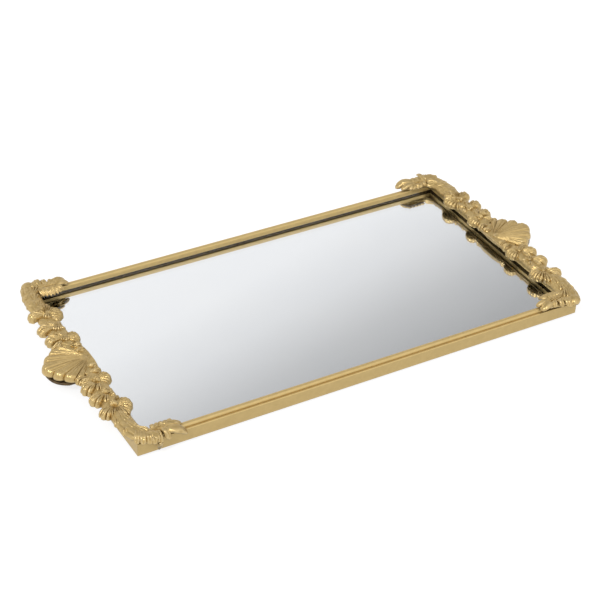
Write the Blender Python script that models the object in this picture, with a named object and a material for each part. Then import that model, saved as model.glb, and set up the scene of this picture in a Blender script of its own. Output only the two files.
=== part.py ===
"""Mirrored dresser vanity tray with cast baroque ends.

Four mitred rails hold a mirror glass over a backing board. A scrolled casting lies on the rails at each
end, and carries a scallop shell that serves as the handle. The long axis is X, and the felt rests on z = 0.
"""

from math import cos, pi, radians, sin, sqrt

import bmesh
import bpy
from mathutils import Matrix, Vector

MM = 0.001
GAP = 0.3

# Driving dimensions, in millimetres.
FRAME_LENGTH = 350.0
FRAME_DEPTH = 186.7
FELT_THICKNESS = 0.9
GLASS_THICKNESS = 3.0
BOARD_THICKNESS = 3.0
POINT_THICKNESS = 0.4
RAIL_HEIGHT = 11.4
RAIL_WIDTH = 6.42
WALL_HEIGHT = 9.45
WALL_THICKNESS = 3.2
LIP_UNDERSIDE = 7.3
FELT_INSET = 1.5

# Levels above the surface that the tray stands on.
HALF_LENGTH = FRAME_LENGTH / 2
HALF_DEPTH = FRAME_DEPTH / 2
RAIL_BASE = FELT_THICKNESS + GAP
LIP_Z = RAIL_BASE + LIP_UNDERSIDE
GLASS_Z = LIP_Z - GAP - GLASS_THICKNESS
BOARD_Z = GLASS_Z - GAP - BOARD_THICKNESS
POINT_Z = BOARD_Z - GAP - POINT_THICKNESS
WALL_TOP_Z = RAIL_BASE + WALL_HEIGHT
RAIL_TOP_Z = RAIL_BASE + RAIL_HEIGHT

# The end castings.
CASTING_UNDERSIDE = RAIL_BASE + 10.8
CREST_Z = RAIL_BASE + 16.5
BAND_INNER_X = 167.4
BAND_OUTER_X = 177.6
CORNER_SPINE_Y = 90.6
LEAF_TIP_X = 144.5
LOBE_REACH_X = 185.2
OUTER_LOBES_Y = (31.3, 44.2, 60.4)

# The shell handle, as a fan about a hinge point on the end rail.
HINGE_X = 166.0
SHELL_REACH = 33.6
SHELL_HALF_ANGLE = 56.0
SHELL_START = 5.0
TONGUE_TOP_Z = RAIL_BASE + 9.6
TONGUE_BOTTOM_Z = RAIL_BASE + 7.2
SHELL_RIM_BOTTOM_Z = TONGUE_TOP_Z + GAP
SHELL_SEAT_Z = CASTING_UNDERSIDE + 3.2
SHELL_RIM_TOP_Z = RAIL_BASE + 15.2
SHELL_SCREW_TOP_Z = RAIL_BASE + 14.2
CASTING_SCREW_TOP_Z = RAIL_BASE + 14.0

# Fasteners.
SCREW_DIAMETER = 1.6
SCREW_HEAD = 3.0
SCREW_LINE = 4.8
SHELL_SCREW_DIAMETER = 2.5
SHELL_SCREW_HEAD = 4.6
SHELL_SCREW_X = 184.0
SHELL_SCREW_Y = 6.5
POINT_WIDTH = 6.0
POINT_BITE = 1.4
ANGLE_THICKNESS = 1.1
ANGLE_LEG = 20.0


def clear_scene():
    for obj in list(bpy.data.objects):
        bpy.data.objects.remove(obj, do_unlink=True)


def material(name, colour, roughness, metallic):
    """A Principled material, made once for each name."""
    found = bpy.data.materials.get(name)
    if found:
        return found
    made = bpy.data.materials.new(name)
    made.use_nodes = True
    shader = made.node_tree.nodes["Principled BSDF"]
    shader.inputs["Base Color"].default_value = (*colour, 1.0)
    shader.inputs["Roughness"].default_value = roughness
    shader.inputs["Metallic"].default_value = metallic
    made.diffuse_color = (*colour, 1.0)
    return made


def gold():
    return material("gold_paint", (0.50, 0.36, 0.15), 0.38, 0.6)


def silvered_glass():
    return material("mirror", (0.88, 0.89, 0.90), 0.03, 1.0)


def hardboard():
    return material("hardboard", (0.20, 0.12, 0.06), 0.8, 0.0)


def felt():
    return material("felt", (0.02, 0.02, 0.022), 0.95, 0.0)


def steel():
    return material("zinc_plated_steel", (0.55, 0.56, 0.58), 0.35, 1.0)


def mesh_object(name, points, faces, surface=None):
    """A mesh object from points in millimetres."""
    mesh = bpy.data.meshes.new(name)
    mesh.from_pydata([Vector(p) * MM for p in points], [], faces)
    skin = bmesh.new()
    skin.from_mesh(mesh)
    bmesh.ops.recalc_face_normals(skin, faces=skin.faces)
    skin.to_mesh(mesh)
    skin.free()
    obj = bpy.data.objects.new(name, mesh)
    bpy.context.scene.collection.objects.link(obj)
    if surface:
        mesh.materials.append(surface)
    return obj


def loft(name, sections, surface=None, closed=False):
    """A skin over equal sections of points. The ends are capped, or joined to each other."""
    size = len(sections[0])
    points = [p for section in sections for p in section]
    faces = []
    spans = len(sections) if closed else len(sections) - 1
    for i in range(spans):
        a, b = i * size, (i + 1) % len(sections) * size
        for j in range(size):
            k = (j + 1) % size
            faces.append((a + j, a + k, b + k, b + j))
    if not closed:
        faces.append(tuple(reversed(range(size))))
        faces.append(tuple(range(len(points) - size, len(points))))
    return mesh_object(name, points, faces, surface)


def prism(name, outline, bottom, top, surface=None):
    """An upright prism over an anticlockwise outline."""
    low = [(x, y, bottom) for x, y in outline]
    high = [(x, y, top) for x, y in outline]
    return loft(name, [low, high], surface)


def block(name, low, high, surface=None):
    outline = [(low[0], low[1]), (high[0], low[1]), (high[0], high[1]), (low[0], high[1])]
    return prism(name, outline, low[2], high[2], surface)


def ellipsoid(name, centre, radii, sides=12, rings=6):
    """A closed rounded body, built as stacked rings between two poles."""
    x, y, z = centre
    a, b, c = radii
    points = [(x, y, z - c)]
    for i in range(1, rings):
        tilt = pi * i / rings
        for j in range(sides):
            turn = 2 * pi * (j + 0.5) / sides
            points.append((x + a * sin(tilt) * cos(turn), y + b * sin(tilt) * sin(turn), z - c * cos(tilt)))
    points.append((x, y, z + c))
    last = len(points) - 1
    faces = []
    for j in range(sides):
        k = (j + 1) % sides
        faces.append((0, 1 + k, 1 + j))
        for i in range(rings - 2):
            a0, b0 = 1 + i * sides, 1 + (i + 1) * sides
            faces.append((a0 + j, a0 + k, b0 + k, b0 + j))
        top = 1 + (rings - 2) * sides
        faces.append((top + j, top + k, last))
    return mesh_object(name, points, faces)


def turned(name, profile, centre, sides=12, surface=None):
    """A solid of revolution about a vertical axis. The profile runs upwards as (radius, z)."""
    x, y = centre
    sections = []
    for radius, z in profile:
        turns = [2 * pi * j / sides for j in range(sides)]
        sections.append([(x + radius * cos(t), y + radius * sin(t), z) for t in turns])
    return loft(name, sections, surface)


def boolean(obj, helper, operation):
    """Adds a Boolean with a helper, which stays in the file as a hidden wire shape."""
    helper.hide_render = True
    helper.display_type = "WIRE"
    modifier = obj.modifiers.new(operation.lower() + "_" + helper.name, "BOOLEAN")
    modifier.operation = operation
    modifier.solver = "EXACT"
    modifier.object = helper


def settle(obj):
    """Bakes an object's modifiers into its mesh, and removes the helpers that they used."""
    helpers = [m.object for m in obj.modifiers if m.type == "BOOLEAN"]
    bpy.context.view_layer.update()
    graph = bpy.context.evaluated_depsgraph_get()
    surface = obj.data.materials[0]
    mesh = bpy.data.meshes.new_from_object(obj.evaluated_get(graph))
    obj.modifiers.clear()
    obj.data = mesh
    mesh.materials.clear()
    mesh.materials.append(surface)
    for helper in helpers:
        bpy.data.objects.remove(helper, do_unlink=True)


def turned_copy(obj, name):
    """The same piece at the other end of the tray, turned half round about Z."""
    copy = bpy.data.objects.new(name, obj.data)
    copy.matrix_world = Matrix.Rotation(pi, 4, "Z") @ obj.matrix_world
    bpy.context.scene.collection.objects.link(copy)
    return copy


def soften(obj, width, segments=1):
    """Bevels an object's sharp edges."""
    modifier = obj.modifiers.new("soft_edges", "BEVEL")
    modifier.width = width * MM
    modifier.segments = segments
    modifier.limit_method = "ANGLE"
    modifier.angle_limit = radians(50)


def arc(centre, radii, start, end, steps):
    """Points along an elliptical arc, angles in degrees."""
    turns = [radians(start + (end - start) * i / steps) for i in range(steps + 1)]
    return [(centre[0] + radii[0] * cos(t), centre[1] + radii[1] * sin(t)) for t in turns]


# Rails


def rail_profile():
    """The moulding as (distance in from the outer face, height over the rail's base), anticlockwise."""
    foot = [(0, 0), (WALL_THICKNESS, 0), (WALL_THICKNESS, LIP_UNDERSIDE), (RAIL_WIDTH, LIP_UNDERSIDE)]
    bead_middle = 4.25
    bead = arc((bead_middle, 9.3), (RAIL_WIDTH - bead_middle, RAIL_HEIGHT - 9.3), 0, 180, 8)
    groove = [(1.8, WALL_HEIGHT - 0.45), (1.3, WALL_HEIGHT)]
    edge = arc((0.75, WALL_HEIGHT - 0.75), (0.75, 0.75), 90, 180, 3)
    return foot + bead + groove + edge


def mitred_section(side, end, profile, trim=0.0):
    """A profile's points in the mitre plane at one end (-1 or 1) of a side of the frame."""
    along_x = side in ("front", "back")
    sign = 1 if side in ("back", "right") else -1
    span, off = (HALF_LENGTH, HALF_DEPTH) if along_x else (HALF_DEPTH, HALF_LENGTH)
    section = []
    for inward, height in profile:
        along, across = end * (span - inward - trim), sign * (off - inward)
        x, y = (along, across) if along_x else (across, along)
        section.append((x, y, RAIL_BASE + height))
    return section


def make_rail(side):
    sections = [mitred_section(side, end, rail_profile(), GAP / sqrt(2)) for end in (-1, 1)]
    return loft(side + "_rail", sections, gold())


def rail_envelope():
    """The space that the rails take up, with the gap all round, as one closed ring."""
    inner, top, shoulder = RAIL_WIDTH + 0.5, RAIL_HEIGHT + GAP, WALL_HEIGHT + GAP
    wall = [(1.7, 10.5), (1.7, shoulder), (-GAP, shoulder), (-GAP, -6)]
    profile = [(inner, -6), (inner, 10.4), (5.7, top), (2.8, top)] + wall
    front = [mitred_section("front", end, profile) for end in (-1, 1)]
    back = [mitred_section("back", end, profile) for end in (1, -1)]
    return loft("rail_envelope", front + back, closed=True)


def cut_glazing_slots(rails):
    """Open notches in the rails' feet, which hold the outer ends of the glazing points."""
    for name, x, y, along_x in glazing_places():
        half = POINT_WIDTH / 2 + GAP
        reach = POINT_BITE + GAP
        out_x, out_y = (1 if x > 0 else -1), (1 if y > 0 else -1)
        if along_x:
            wall = out_y * (HALF_DEPTH - WALL_THICKNESS)
            low = (x - half, min(wall - out_y, wall + out_y * reach), POINT_Z - 3)
            high = (x + half, max(wall - out_y, wall + out_y * reach), POINT_Z + POINT_THICKNESS + GAP)
            side = "back" if y > 0 else "front"
        else:
            wall = out_x * (HALF_LENGTH - WALL_THICKNESS)
            low = (min(wall - out_x, wall + out_x * reach), y - half, POINT_Z - 3)
            high = (max(wall - out_x, wall + out_x * reach), y + half, POINT_Z + POINT_THICKNESS + GAP)
            side = "right" if x > 0 else "left"
        boolean(rails[side], block("slot_" + name, low, high), "DIFFERENCE")


# What the frame holds


def inset_plate(name, inset, bottom, thickness, surface):
    x, y = HALF_LENGTH - inset, HALF_DEPTH - inset
    return block(name, (-x, -y, bottom), (x, y, bottom + thickness), surface)


def make_mirror_glass():
    glass = inset_plate("mirror_glass", WALL_THICKNESS + GAP, GLASS_Z, GLASS_THICKNESS, silvered_glass())
    soften(glass, 0.4)
    return glass


def make_backing_board():
    inset = WALL_THICKNESS + 2 * GAP + ANGLE_THICKNESS
    return inset_plate("backing_board", inset, BOARD_Z, BOARD_THICKNESS, hardboard())


def make_felt_base():
    """The felt sheet under the whole tray, with round corners."""
    x, y, radius = HALF_LENGTH - FELT_INSET, HALF_DEPTH - FELT_INSET, 3.0
    centres = ((x - radius, y - radius), (radius - x, y - radius), (radius - x, radius - y), (x - radius, radius - y))
    outline = []
    for i, centre in enumerate(centres):
        outline += arc(centre, (radius, radius), 90 * i, 90 * i + 90, 6)
    return prism("felt_base", outline, 0, FELT_THICKNESS, felt())


def make_corner_angle(name, sx, sy):
    """A steel angle inside a mitred corner, under the glass."""
    x, y = HALF_LENGTH - WALL_THICKNESS - GAP, HALF_DEPTH - WALL_THICKNESS - GAP
    t, leg = ANGLE_THICKNESS, ANGLE_LEG
    outline = [(x, y), (x - leg, y), (x - leg, y - t), (x - t, y - t), (x - t, y - leg), (x, y - leg)]
    placed = [(sx * px, sy * py) for px, py in outline]
    return prism(name, placed, BOARD_Z, BOARD_Z + BOARD_THICKNESS, steel())


def glazing_places():
    """Name, centre and direction of each glazing point round the board."""
    places = []
    for i, x in enumerate((-100, 0, 100), 1):
        places.append((f"glazing_point_front_{i}", x, -1, True))
        places.append((f"glazing_point_back_{i}", x, 1, True))
    for side, x in (("left", -1), ("right", 1)):
        places.append((f"glazing_point_{side}_1", x, -40, False))
        places.append((f"glazing_point_{side}_2", x, 40, False))
    return places


def make_glazing_point(name, x, y, along_x):
    """A flat steel point, driven into a rail with its tail under the board."""
    half, tail = POINT_WIDTH / 2, 7.0
    off = (HALF_DEPTH if along_x else HALF_LENGTH) - WALL_THICKNESS
    sign = (1 if y > 0 else -1) if along_x else (1 if x > 0 else -1)
    outer, inner = sign * (off + POINT_BITE), sign * (off - tail)
    if along_x:
        outline = [(x - half / 2, outer), (x + half / 2, outer), (x + half, inner), (x - half, inner)]
    else:
        outline = [(outer, y - half / 2), (outer, y + half / 2), (inner, y + half), (inner, y - half)]
    return prism(name, outline, POINT_Z, POINT_Z + POINT_THICKNESS, steel())


# End castings, drawn at the right-hand end and symmetric about the X axis


def band_path():
    """The casting's middle line over one end rail and round both corners, in plan."""
    spine_x, turn = (BAND_INNER_X + BAND_OUTER_X) / 2, 11.0
    bend = arc((spine_x - turn, CORNER_SPINE_Y - turn), (turn, turn), 0, 90, 4)
    half = [(spine_x, 0), (spine_x, 40)] + bend + [(LEAF_TIP_X + 3.5, CORNER_SPINE_Y)]
    return [(x, -y) for x, y in reversed(half[1:])] + half


def band_section(point, direction, scale):
    """A domed section across the path, from the underside up to the crest."""
    across = Vector((direction[1], -direction[0]))
    half = (BAND_OUTER_X - BAND_INNER_X) / 2 * scale
    dome = arc((0, CASTING_UNDERSIDE + 1.2), (half, (CREST_Z - CASTING_UNDERSIDE - 1.2) * scale), 0, 180, 6)
    section = [(half, CASTING_UNDERSIDE)] + dome + [(-half, CASTING_UNDERSIDE)]
    return [(point[0] + across.x * w, point[1] + across.y * w, z) for w, z in section]


def make_band():
    path = [Vector(p) for p in band_path()]
    sections = []
    for i, point in enumerate(path):
        before, after = path[max(i - 1, 0)], path[min(i + 1, len(path) - 1)]
        end = i in (0, len(path) - 1)
        sections.append(band_section(point, (after - before).normalized(), 0.8 if end else 1.0))
    return loft("casting_band", sections)


def leaf_lobes():
    """Every lobe of the acanthus work on one half (y > 0), as a centre and three radii."""
    lobe_z = CASTING_UNDERSIDE + 2.6
    lobes = [((LOBE_REACH_X - 6.0, y, lobe_z), (6.0, 5.6, 3.1)) for y in OUTER_LOBES_Y]
    lobes.append(((166.6, 54.0, lobe_z - 0.4), (5.0, 9.0, 2.2)))
    lobes.append(((166.4, 25.0, lobe_z - 0.2), (4.4, 6.0, 2.3)))
    lobes.append(((174.5, 72.0, lobe_z + 0.2), (5.3, 9.0, 3.4)))
    lobes += [((x, 95.2, lobe_z - 0.8), (4.6, 4.4, 3.9)) for x in (149.0, 156.5, 164.5)]
    lobes += [((x, 86.8, lobe_z - 0.2), (4.2, 3.6, 2.4)) for x in (149.5, 156.5)]
    return lobes


def tongue_outline():
    """The flat tongue beyond the end rail, which carries the shell."""
    inner = HALF_LENGTH + GAP
    tip = arc((184.0, 0), (12.5, 14.3), -90, 90, 8)
    return [(inner, -15.8)] + tip + [(inner, 15.8)]


def make_end_casting(name):
    casting = make_band()
    casting.name = name
    casting.data.materials.append(gold())
    for i, (centre, radii) in enumerate(leaf_lobes()):
        for sign in (1, -1):
            lobe = ellipsoid(f"lobe_{i}_{sign}", (centre[0], sign * centre[1], centre[2]), radii)
            boolean(casting, lobe, "UNION")
    plate = block("base_plate", (BAND_INNER_X - 4.2, -20, CASTING_UNDERSIDE + 1.0), (176, 20, CASTING_UNDERSIDE + 3.6))
    boolean(casting, plate, "UNION")
    boolean(casting, prism("tongue", tongue_outline(), TONGUE_BOTTOM_Z, TONGUE_TOP_Z), "UNION")
    web = block("tongue_web", (HALF_LENGTH + GAP, -14, TONGUE_BOTTOM_Z + 1), (177.2, 14, CASTING_UNDERSIDE + 2))
    boolean(casting, web, "UNION")
    boolean(casting, shell_solid("shell_socket", GAP), "DIFFERENCE")
    boolean(casting, rail_envelope(), "DIFFERENCE")
    for i, (x, y) in enumerate(casting_screw_places()):
        hole = turned(f"screw_hole_{i}", screw_hole_profile(), (x, y))
        boolean(casting, hole, "DIFFERENCE")
    for sign in (1, -1):
        radius = SHELL_SCREW_DIAMETER / 2 + GAP
        profile = [(radius, TONGUE_BOTTOM_Z - 1), (radius, TONGUE_TOP_Z + 2)]
        hole = turned(f"shell_screw_hole_{sign}", profile, (SHELL_SCREW_X, sign * SHELL_SCREW_Y))
        boolean(casting, hole, "DIFFERENCE")
    settle(casting)
    return casting


# Shell handle


def shell_radius(angle):
    """The scalloped rim's distance from the hinge, at an angle in degrees."""
    fan = SHELL_REACH * (1 - 0.27 * (abs(angle) / SHELL_HALF_ANGLE) ** 0.9)
    return fan - 1.5 * abs(sin(radians(180 * (angle - 14) / 28)))


def shell_solid(name, grow=0.0, surface=None):
    """The fan-shaped shell, domed above and flat below, made larger all round by grow."""
    steps, rings = 32, 5
    half = SHELL_HALF_ANGLE
    sections = []
    for i in range(steps + 1):
        angle = -half + 2 * half * i / steps
        turn = radians(angle)
        rim, start = shell_radius(angle) + grow, SHELL_START - grow
        upper, lower = [], []
        for j in range(rings + 1):
            share = j / rings
            r = start + (rim - start) * share
            shift = grow * (i - steps / 2) / (steps / 2)
            x, y = HINGE_X + r * cos(turn), r * sin(turn) + shift
            dome = 1.9 * sin(pi * min(1, 0.25 + 0.75 * share)) * cos(turn * 0.9)
            upper.append((x, y, SHELL_RIM_TOP_Z + dome + grow))
            floor = SHELL_SEAT_Z if x < BAND_OUTER_X + 1.5 else SHELL_RIM_BOTTOM_Z
            lower.append((x, y, floor - grow))
        sections.append(upper + lower[::-1])
    return loft(name, sections, surface)


def make_shell_handle(name):
    shell = shell_solid(name, 0.0, gold())
    for sign in (1, -1):
        radius = SHELL_SCREW_DIAMETER / 2 + GAP
        profile = [(radius, SHELL_RIM_BOTTOM_Z - 3), (radius, SHELL_SCREW_TOP_Z + GAP)]
        hole = turned(f"{name}_hole_{sign}", profile, (SHELL_SCREW_X, sign * SHELL_SCREW_Y))
        boolean(shell, hole, "DIFFERENCE")
    settle(shell)
    return shell


# Fasteners


def casting_screw_places():
    """The screws up through the lip at the right-hand end, in plan."""
    line_x, line_y = HALF_LENGTH - SCREW_LINE, HALF_DEPTH - SCREW_LINE
    return [(line_x, y) for y in (-66, -36, 36, 66)] + [(155, sign * line_y) for sign in (-1, 1)]


def screw_hole_profile():
    """A countersunk clearance hole, from below the lip up to the hole's blind end."""
    shank, head = SCREW_DIAMETER / 2 + GAP, SCREW_HEAD / 2 + GAP
    return [(head, LIP_Z - 1), (head, LIP_Z + GAP), (shank, LIP_Z + 1.3), (shank, CASTING_SCREW_TOP_Z + GAP)]


def make_casting_screw(name, x, y):
    shank, head = SCREW_DIAMETER / 2, SCREW_HEAD / 2
    low = LIP_Z + 0.1
    profile = [(head, low), (head, low + 0.2), (shank, low + 1.0), (shank, CASTING_SCREW_TOP_Z)]
    return turned(name, profile, (x, y), surface=steel())


def make_shell_screw(name, x, y):
    shank, head = SHELL_SCREW_DIAMETER / 2, SHELL_SCREW_HEAD / 2
    seat = TONGUE_BOTTOM_Z - GAP
    pan = [(head * 0.7, seat - 1.5), (head, seat - 0.9), (head, seat), (shank, seat)]
    return turned(name, pan + [(shank, SHELL_SCREW_TOP_Z)], (x, y), surface=steel())


def make_end(side):
    """Everything on one end: the casting, its shell and their screws."""
    sign = 1 if side == "right" else -1
    for i, (x, y) in enumerate(casting_screw_places(), 1):
        make_casting_screw(f"casting_screw_{side}_{i}", sign * x, sign * y)
    for i, y in enumerate((-SHELL_SCREW_Y, SHELL_SCREW_Y), 1):
        make_shell_screw(f"shell_screw_{side}_{i}", sign * SHELL_SCREW_X, sign * y)


def drill_rails(rails):
    """Countersunk holes for the casting screws of both ends."""
    for i, (x, y) in enumerate(casting_screw_places()):
        for sign in (1, -1):
            side = ("right" if sign > 0 else "left") if abs(y) < 80 else ("back" if sign * y > 0 else "front")
            hole = turned(f"lip_hole_{i}_{sign}", screw_hole_profile(), (sign * x, sign * y))
            boolean(rails[side], hole, "DIFFERENCE")


def build():
    clear_scene()
    rails = {side: make_rail(side) for side in ("front", "back", "left", "right")}
    drill_rails(rails)
    cut_glazing_slots(rails)
    for rail in rails.values():
        settle(rail)
    make_mirror_glass()
    make_backing_board()
    make_felt_base()
    corners = {"front_left": (-1, -1), "front_right": (1, -1), "back_left": (-1, 1), "back_right": (1, 1)}
    for corner, (sx, sy) in corners.items():
        make_corner_angle("corner_angle_" + corner, sx, sy)
    for name, x, y, along_x in glazing_places():
        make_glazing_point(name, x, y, along_x)
    turned_copy(make_end_casting("right_end_casting"), "left_end_casting")
    turned_copy(make_shell_handle("right_shell_handle"), "left_shell_handle")
    for side in ("left", "right"):
        make_end(side)


build()
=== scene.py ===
"""The looks of the mirrored vanity tray: moulded gold rails, cast baroque ends and a silvered glass.

Sizes are in millimetres, in the frame of the CAD model, and turn into metres where a mesh is made. Lengths
in materials, on the stage and for the camera are in metres. Each end casting is drawn at the right-hand end,
and the left one is the same casting turned half round.
"""

from math import cos, pi, radians, sin, sqrt

import bmesh
import bpy
from mathutils import Matrix, Vector
from mathutils import noise as turbulence


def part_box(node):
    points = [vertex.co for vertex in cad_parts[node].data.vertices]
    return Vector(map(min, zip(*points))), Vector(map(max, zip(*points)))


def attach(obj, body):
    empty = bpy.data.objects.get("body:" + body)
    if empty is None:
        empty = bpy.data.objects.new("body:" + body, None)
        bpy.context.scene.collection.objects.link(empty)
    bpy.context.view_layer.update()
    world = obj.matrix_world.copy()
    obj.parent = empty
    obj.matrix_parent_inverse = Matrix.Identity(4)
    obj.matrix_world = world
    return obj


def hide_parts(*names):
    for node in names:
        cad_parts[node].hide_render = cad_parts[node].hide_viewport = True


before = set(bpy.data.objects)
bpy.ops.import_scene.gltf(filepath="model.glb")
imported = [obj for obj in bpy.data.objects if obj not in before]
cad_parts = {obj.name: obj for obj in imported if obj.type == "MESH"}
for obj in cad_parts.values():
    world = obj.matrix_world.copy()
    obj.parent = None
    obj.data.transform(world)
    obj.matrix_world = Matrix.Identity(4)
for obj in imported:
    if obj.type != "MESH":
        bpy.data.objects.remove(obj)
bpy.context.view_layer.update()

MM = 0.001


def node_box(name):
    """A CAD node's lowest and highest corners, in millimetres."""
    low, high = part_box(name)
    return low / MM, high / MM


# Places read from the frame.
RAIL_LOW, RAIL_HIGH = node_box("front_rail")
HALF_LENGTH = RAIL_HIGH.x
HALF_DEPTH = -RAIL_LOW.y
RAIL_BASE = RAIL_LOW.z
RAIL_HEIGHT = RAIL_HIGH.z - RAIL_BASE
GLASS_LOW, GLASS_HIGH = node_box("mirror_glass")
FELT_HIGH = node_box("felt_base")[1]

# The rail's moulding, in from its outer face and over its base.
WALL_HEIGHT = 9.45
WALL_THICKNESS = 3.2
LIP_UNDERSIDE = 7.3
RAIL_WIDTH = 6.42
BEAD_MIDDLE = 4.25
BEAD_FOOT = 9.0
BEAD_POWER = 2.5
EASED_EDGE = 0.25
OUTER_ROUND = 0.75
MITRE_GAP = 0.03

# The glass and the felt.
GLASS_BEVEL = 0.3
FELT_CORNER = 3.0

# The end casting. Its leaves at y < 0 lie nearer the shell by the front shift.
RAIL_GAP = 0.12
TONGUE_GAP = 0.3
TONGUE_TOP = 10.1
BAND_X = 172.0
LEAF_FLOOR = 12.05
CARVING_LIMIT = 17.4
CARVING_GIVE = 1.2
FRONT_SHIFT = 2.4

# The shell, as a fan about its hinge. Flutes and notches are in degrees, and a notch lies between two lobes.
SHELL_HINGE_X = 166.0
SHELL_START = 1.6
SHELL_UNDERSIDE = 11.3
SHELL_TOP = 15.2
SHELL_SWELL = 2.1
SHELL_SIDE_FALL = 1.2
SHELL_LOBE_SWELL = 1.8
SHELL_FLUTE_DEPTH = 0.80
SHELL_FLUTE = 6.4
SHELL_FINE_FLUTE = 2.9
SHELL_ROLL_START = 0.88
SHELL_NOTCHES = (-58.0, -46.0, -27.5, -12.5, 12.5, 27.5, 46.0, 58.0)
SHELL_NOTCH_REACHES = (21.5, 24.4, 26.4, 28.7, 28.7, 26.4, 24.4, 21.5)
SHELL_LOBE_BULGES = (1.6, 2.0, 2.8, 5.0, 2.8, 2.0, 1.6)

# Colours, as linear red, green and blue.
RAIL_GOLD = ((0.538, 0.392, 0.160), (0.584, 0.427, 0.178))
# The castings' gold, a darker copy of the rail gold as painted shade.
CAST_GOLD_SHADED = ((0.470, 0.331, 0.126), (0.541, 0.392, 0.160))
# Edges worn bright, partly a painted highlight.
WORN_AND_HIGHLIGHT_GOLD = (0.615, 0.475, 0.245)
# Recesses: antique glaze and painted shade.
RECESS_GLAZE_AND_SHADE = (0.270, 0.180, 0.060)
# Painted shade in the chisel strokes.
STROKE_SHADE_GOLD = (0.330, 0.225, 0.080)
# Painted shade under overhangs.
UNDERSIDE_SHADE_GOLD = (0.110, 0.080, 0.028)
# Painted shade on the tongue under the handle.
TONGUE_SHADE_COLOURS = ((0.060, 0.036, 0.014), (0.110, 0.070, 0.028))
SILVER = ((0.90, 0.91, 0.925), (0.915, 0.922, 0.93))
# The rebate's dark core, partly painted shade.
CORE_WOOD_AND_SHADE = ((0.026, 0.014, 0.005), (0.050, 0.028, 0.011))
HARDBOARD = ((0.10, 0.055, 0.025), (0.20, 0.12, 0.06))
STEEL = ((0.50, 0.51, 0.53), (0.62, 0.62, 0.60))
FELT = ((0.010, 0.010, 0.012), (0.045, 0.045, 0.050))
GLASS_TINT = (0.97, 0.985, 0.975, 1)
FLOOR_GREY = (0.26, 0.26, 0.26, 1)
SKY_TINT = (0.998, 0.993, 1.012)

# The camera and the light, in metres and degrees.
CAMERA_PLACE = (-0.52146, -0.84108, 0.70197)
CAMERA_YAW, CAMERA_PITCH, CAMERA_ROLL = 31.701, 35.004, 2.895
CAMERA_LENS = 101.27
SKY_AZIMUTH, SKY_ELEVATION = -16.4, -44.9
SUN_TOWARDS = (-0.62, -0.30, 0.70)
SUN_STRENGTH, SUN_SPREAD = 1.45, 12


# ---------------------------------------------------------------- meshes


def mesh_object(name, points, faces):
    """A smooth mesh object from points in millimetres, its faces turned outwards."""
    mesh = bpy.data.meshes.new(name)
    mesh.from_pydata([Vector(p) * MM for p in points], [], faces)
    skin = bmesh.new()
    skin.from_mesh(mesh)
    bmesh.ops.recalc_face_normals(skin, faces=skin.faces)
    skin.to_mesh(mesh)
    skin.free()
    mesh.shade_smooth()
    return linked(name, mesh)


def linked(name, data):
    """An object in the scene that holds the given data."""
    obj = bpy.data.objects.new(name, data)
    bpy.context.scene.collection.objects.link(obj)
    return obj


def loft(name, sections, closed=False):
    """A skin over equal sections of points: capped at both ends or, where closed, run back to the start."""
    size = len(sections[0])
    points = [p for section in sections for p in section]
    faces = []
    for i in range(len(sections) if closed else len(sections) - 1):
        a, b = i * size, (i + 1) % len(sections) * size
        for j in range(size):
            k = (j + 1) % size
            faces.append((a + j, a + k, b + k, b + j))
    if not closed:
        faces.append(tuple(reversed(range(size))))
        faces.append(tuple(range(len(points) - size, len(points))))
    return mesh_object(name, points, faces)


def boolean(obj, others, operation):
    """Joins closed solids to an object, or cuts them out of it. It uses the others up."""
    for other in others:
        modifier = obj.modifiers.new(operation.lower(), "BOOLEAN")
        modifier.operation = operation
        modifier.solver = "MANIFOLD"
        modifier.object = other
    bpy.context.view_layer.update()
    graph = bpy.context.evaluated_depsgraph_get()
    mesh = bpy.data.meshes.new_from_object(obj.evaluated_get(graph))
    obj.modifiers.clear()
    obj.data = mesh
    for other in others:
        bpy.data.objects.remove(other, do_unlink=True)


def chisel(obj, depth, scale):
    """Makes a surface uneven, as carved by hand. Depth is in millimetres, and scale in waves to a metre."""
    normals = [vertex.normal.copy() for vertex in obj.data.vertices]
    for vertex, normal in zip(obj.data.vertices, normals):
        vertex.co += normal * depth * MM * turbulence.noise(vertex.co * scale)


def set_sharp(obj, angle):
    """Smooth shading, with edges over an angle in degrees left sharp."""
    obj.data.shade_smooth()
    obj.data.set_sharp_from_angle(angle=radians(angle))


def smoothstep(x, low, high):
    """Rises smoothly from 0 at low to 1 at high."""
    t = min(1.0, max(0.0, (x - low) / (high - low)))
    return t * t * (3 - 2 * t)


# ---------------------------------------------------------------- materials


def node(tree, kind, **values):
    """A shader node, with its input sockets set by name."""
    made = tree.nodes.new(kind)
    for name, value in values.items():
        made.inputs[name.replace("_", " ")].default_value = value
    return made


def new_material(name):
    """A material, its node tree and its Principled BSDF."""
    made = bpy.data.materials.new(name)
    made.use_nodes = True
    return made, made.node_tree, made.node_tree.nodes["Principled BSDF"]


def colour_ramp(tree, source, *stops):
    """A colour that follows a value, from stops of (place, colour)."""
    ramp = tree.nodes.new("ShaderNodeValToRGB")
    while len(ramp.color_ramp.elements) < len(stops):
        ramp.color_ramp.elements.new(0.5)
    for element, (place, colour) in zip(ramp.color_ramp.elements, stops):
        element.position = place
        element.color = (*colour, 1.0)
    tree.links.new(source, ramp.inputs["Fac"])
    return ramp.outputs["Color"]


def level_ramp(tree, source, *stops):
    """A grey level that follows a value, from stops of (place, level)."""
    return colour_ramp(tree, source, *[(place, (level,) * 3) for place, level in stops])


def mix_colours(tree, share, first, second):
    """A colour between two, each a socket or a fixed colour, by a share that comes from a socket."""
    made = tree.nodes.new("ShaderNodeMix")
    made.data_type = "RGBA"
    tree.links.new(share, made.inputs[0])
    for value, index in ((first, 6), (second, 7)):
        if isinstance(value, bpy.types.NodeSocket):
            tree.links.new(value, made.inputs[index])
        else:
            made.inputs[index].default_value = (*value, 1)
    return made.outputs[2]


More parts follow.
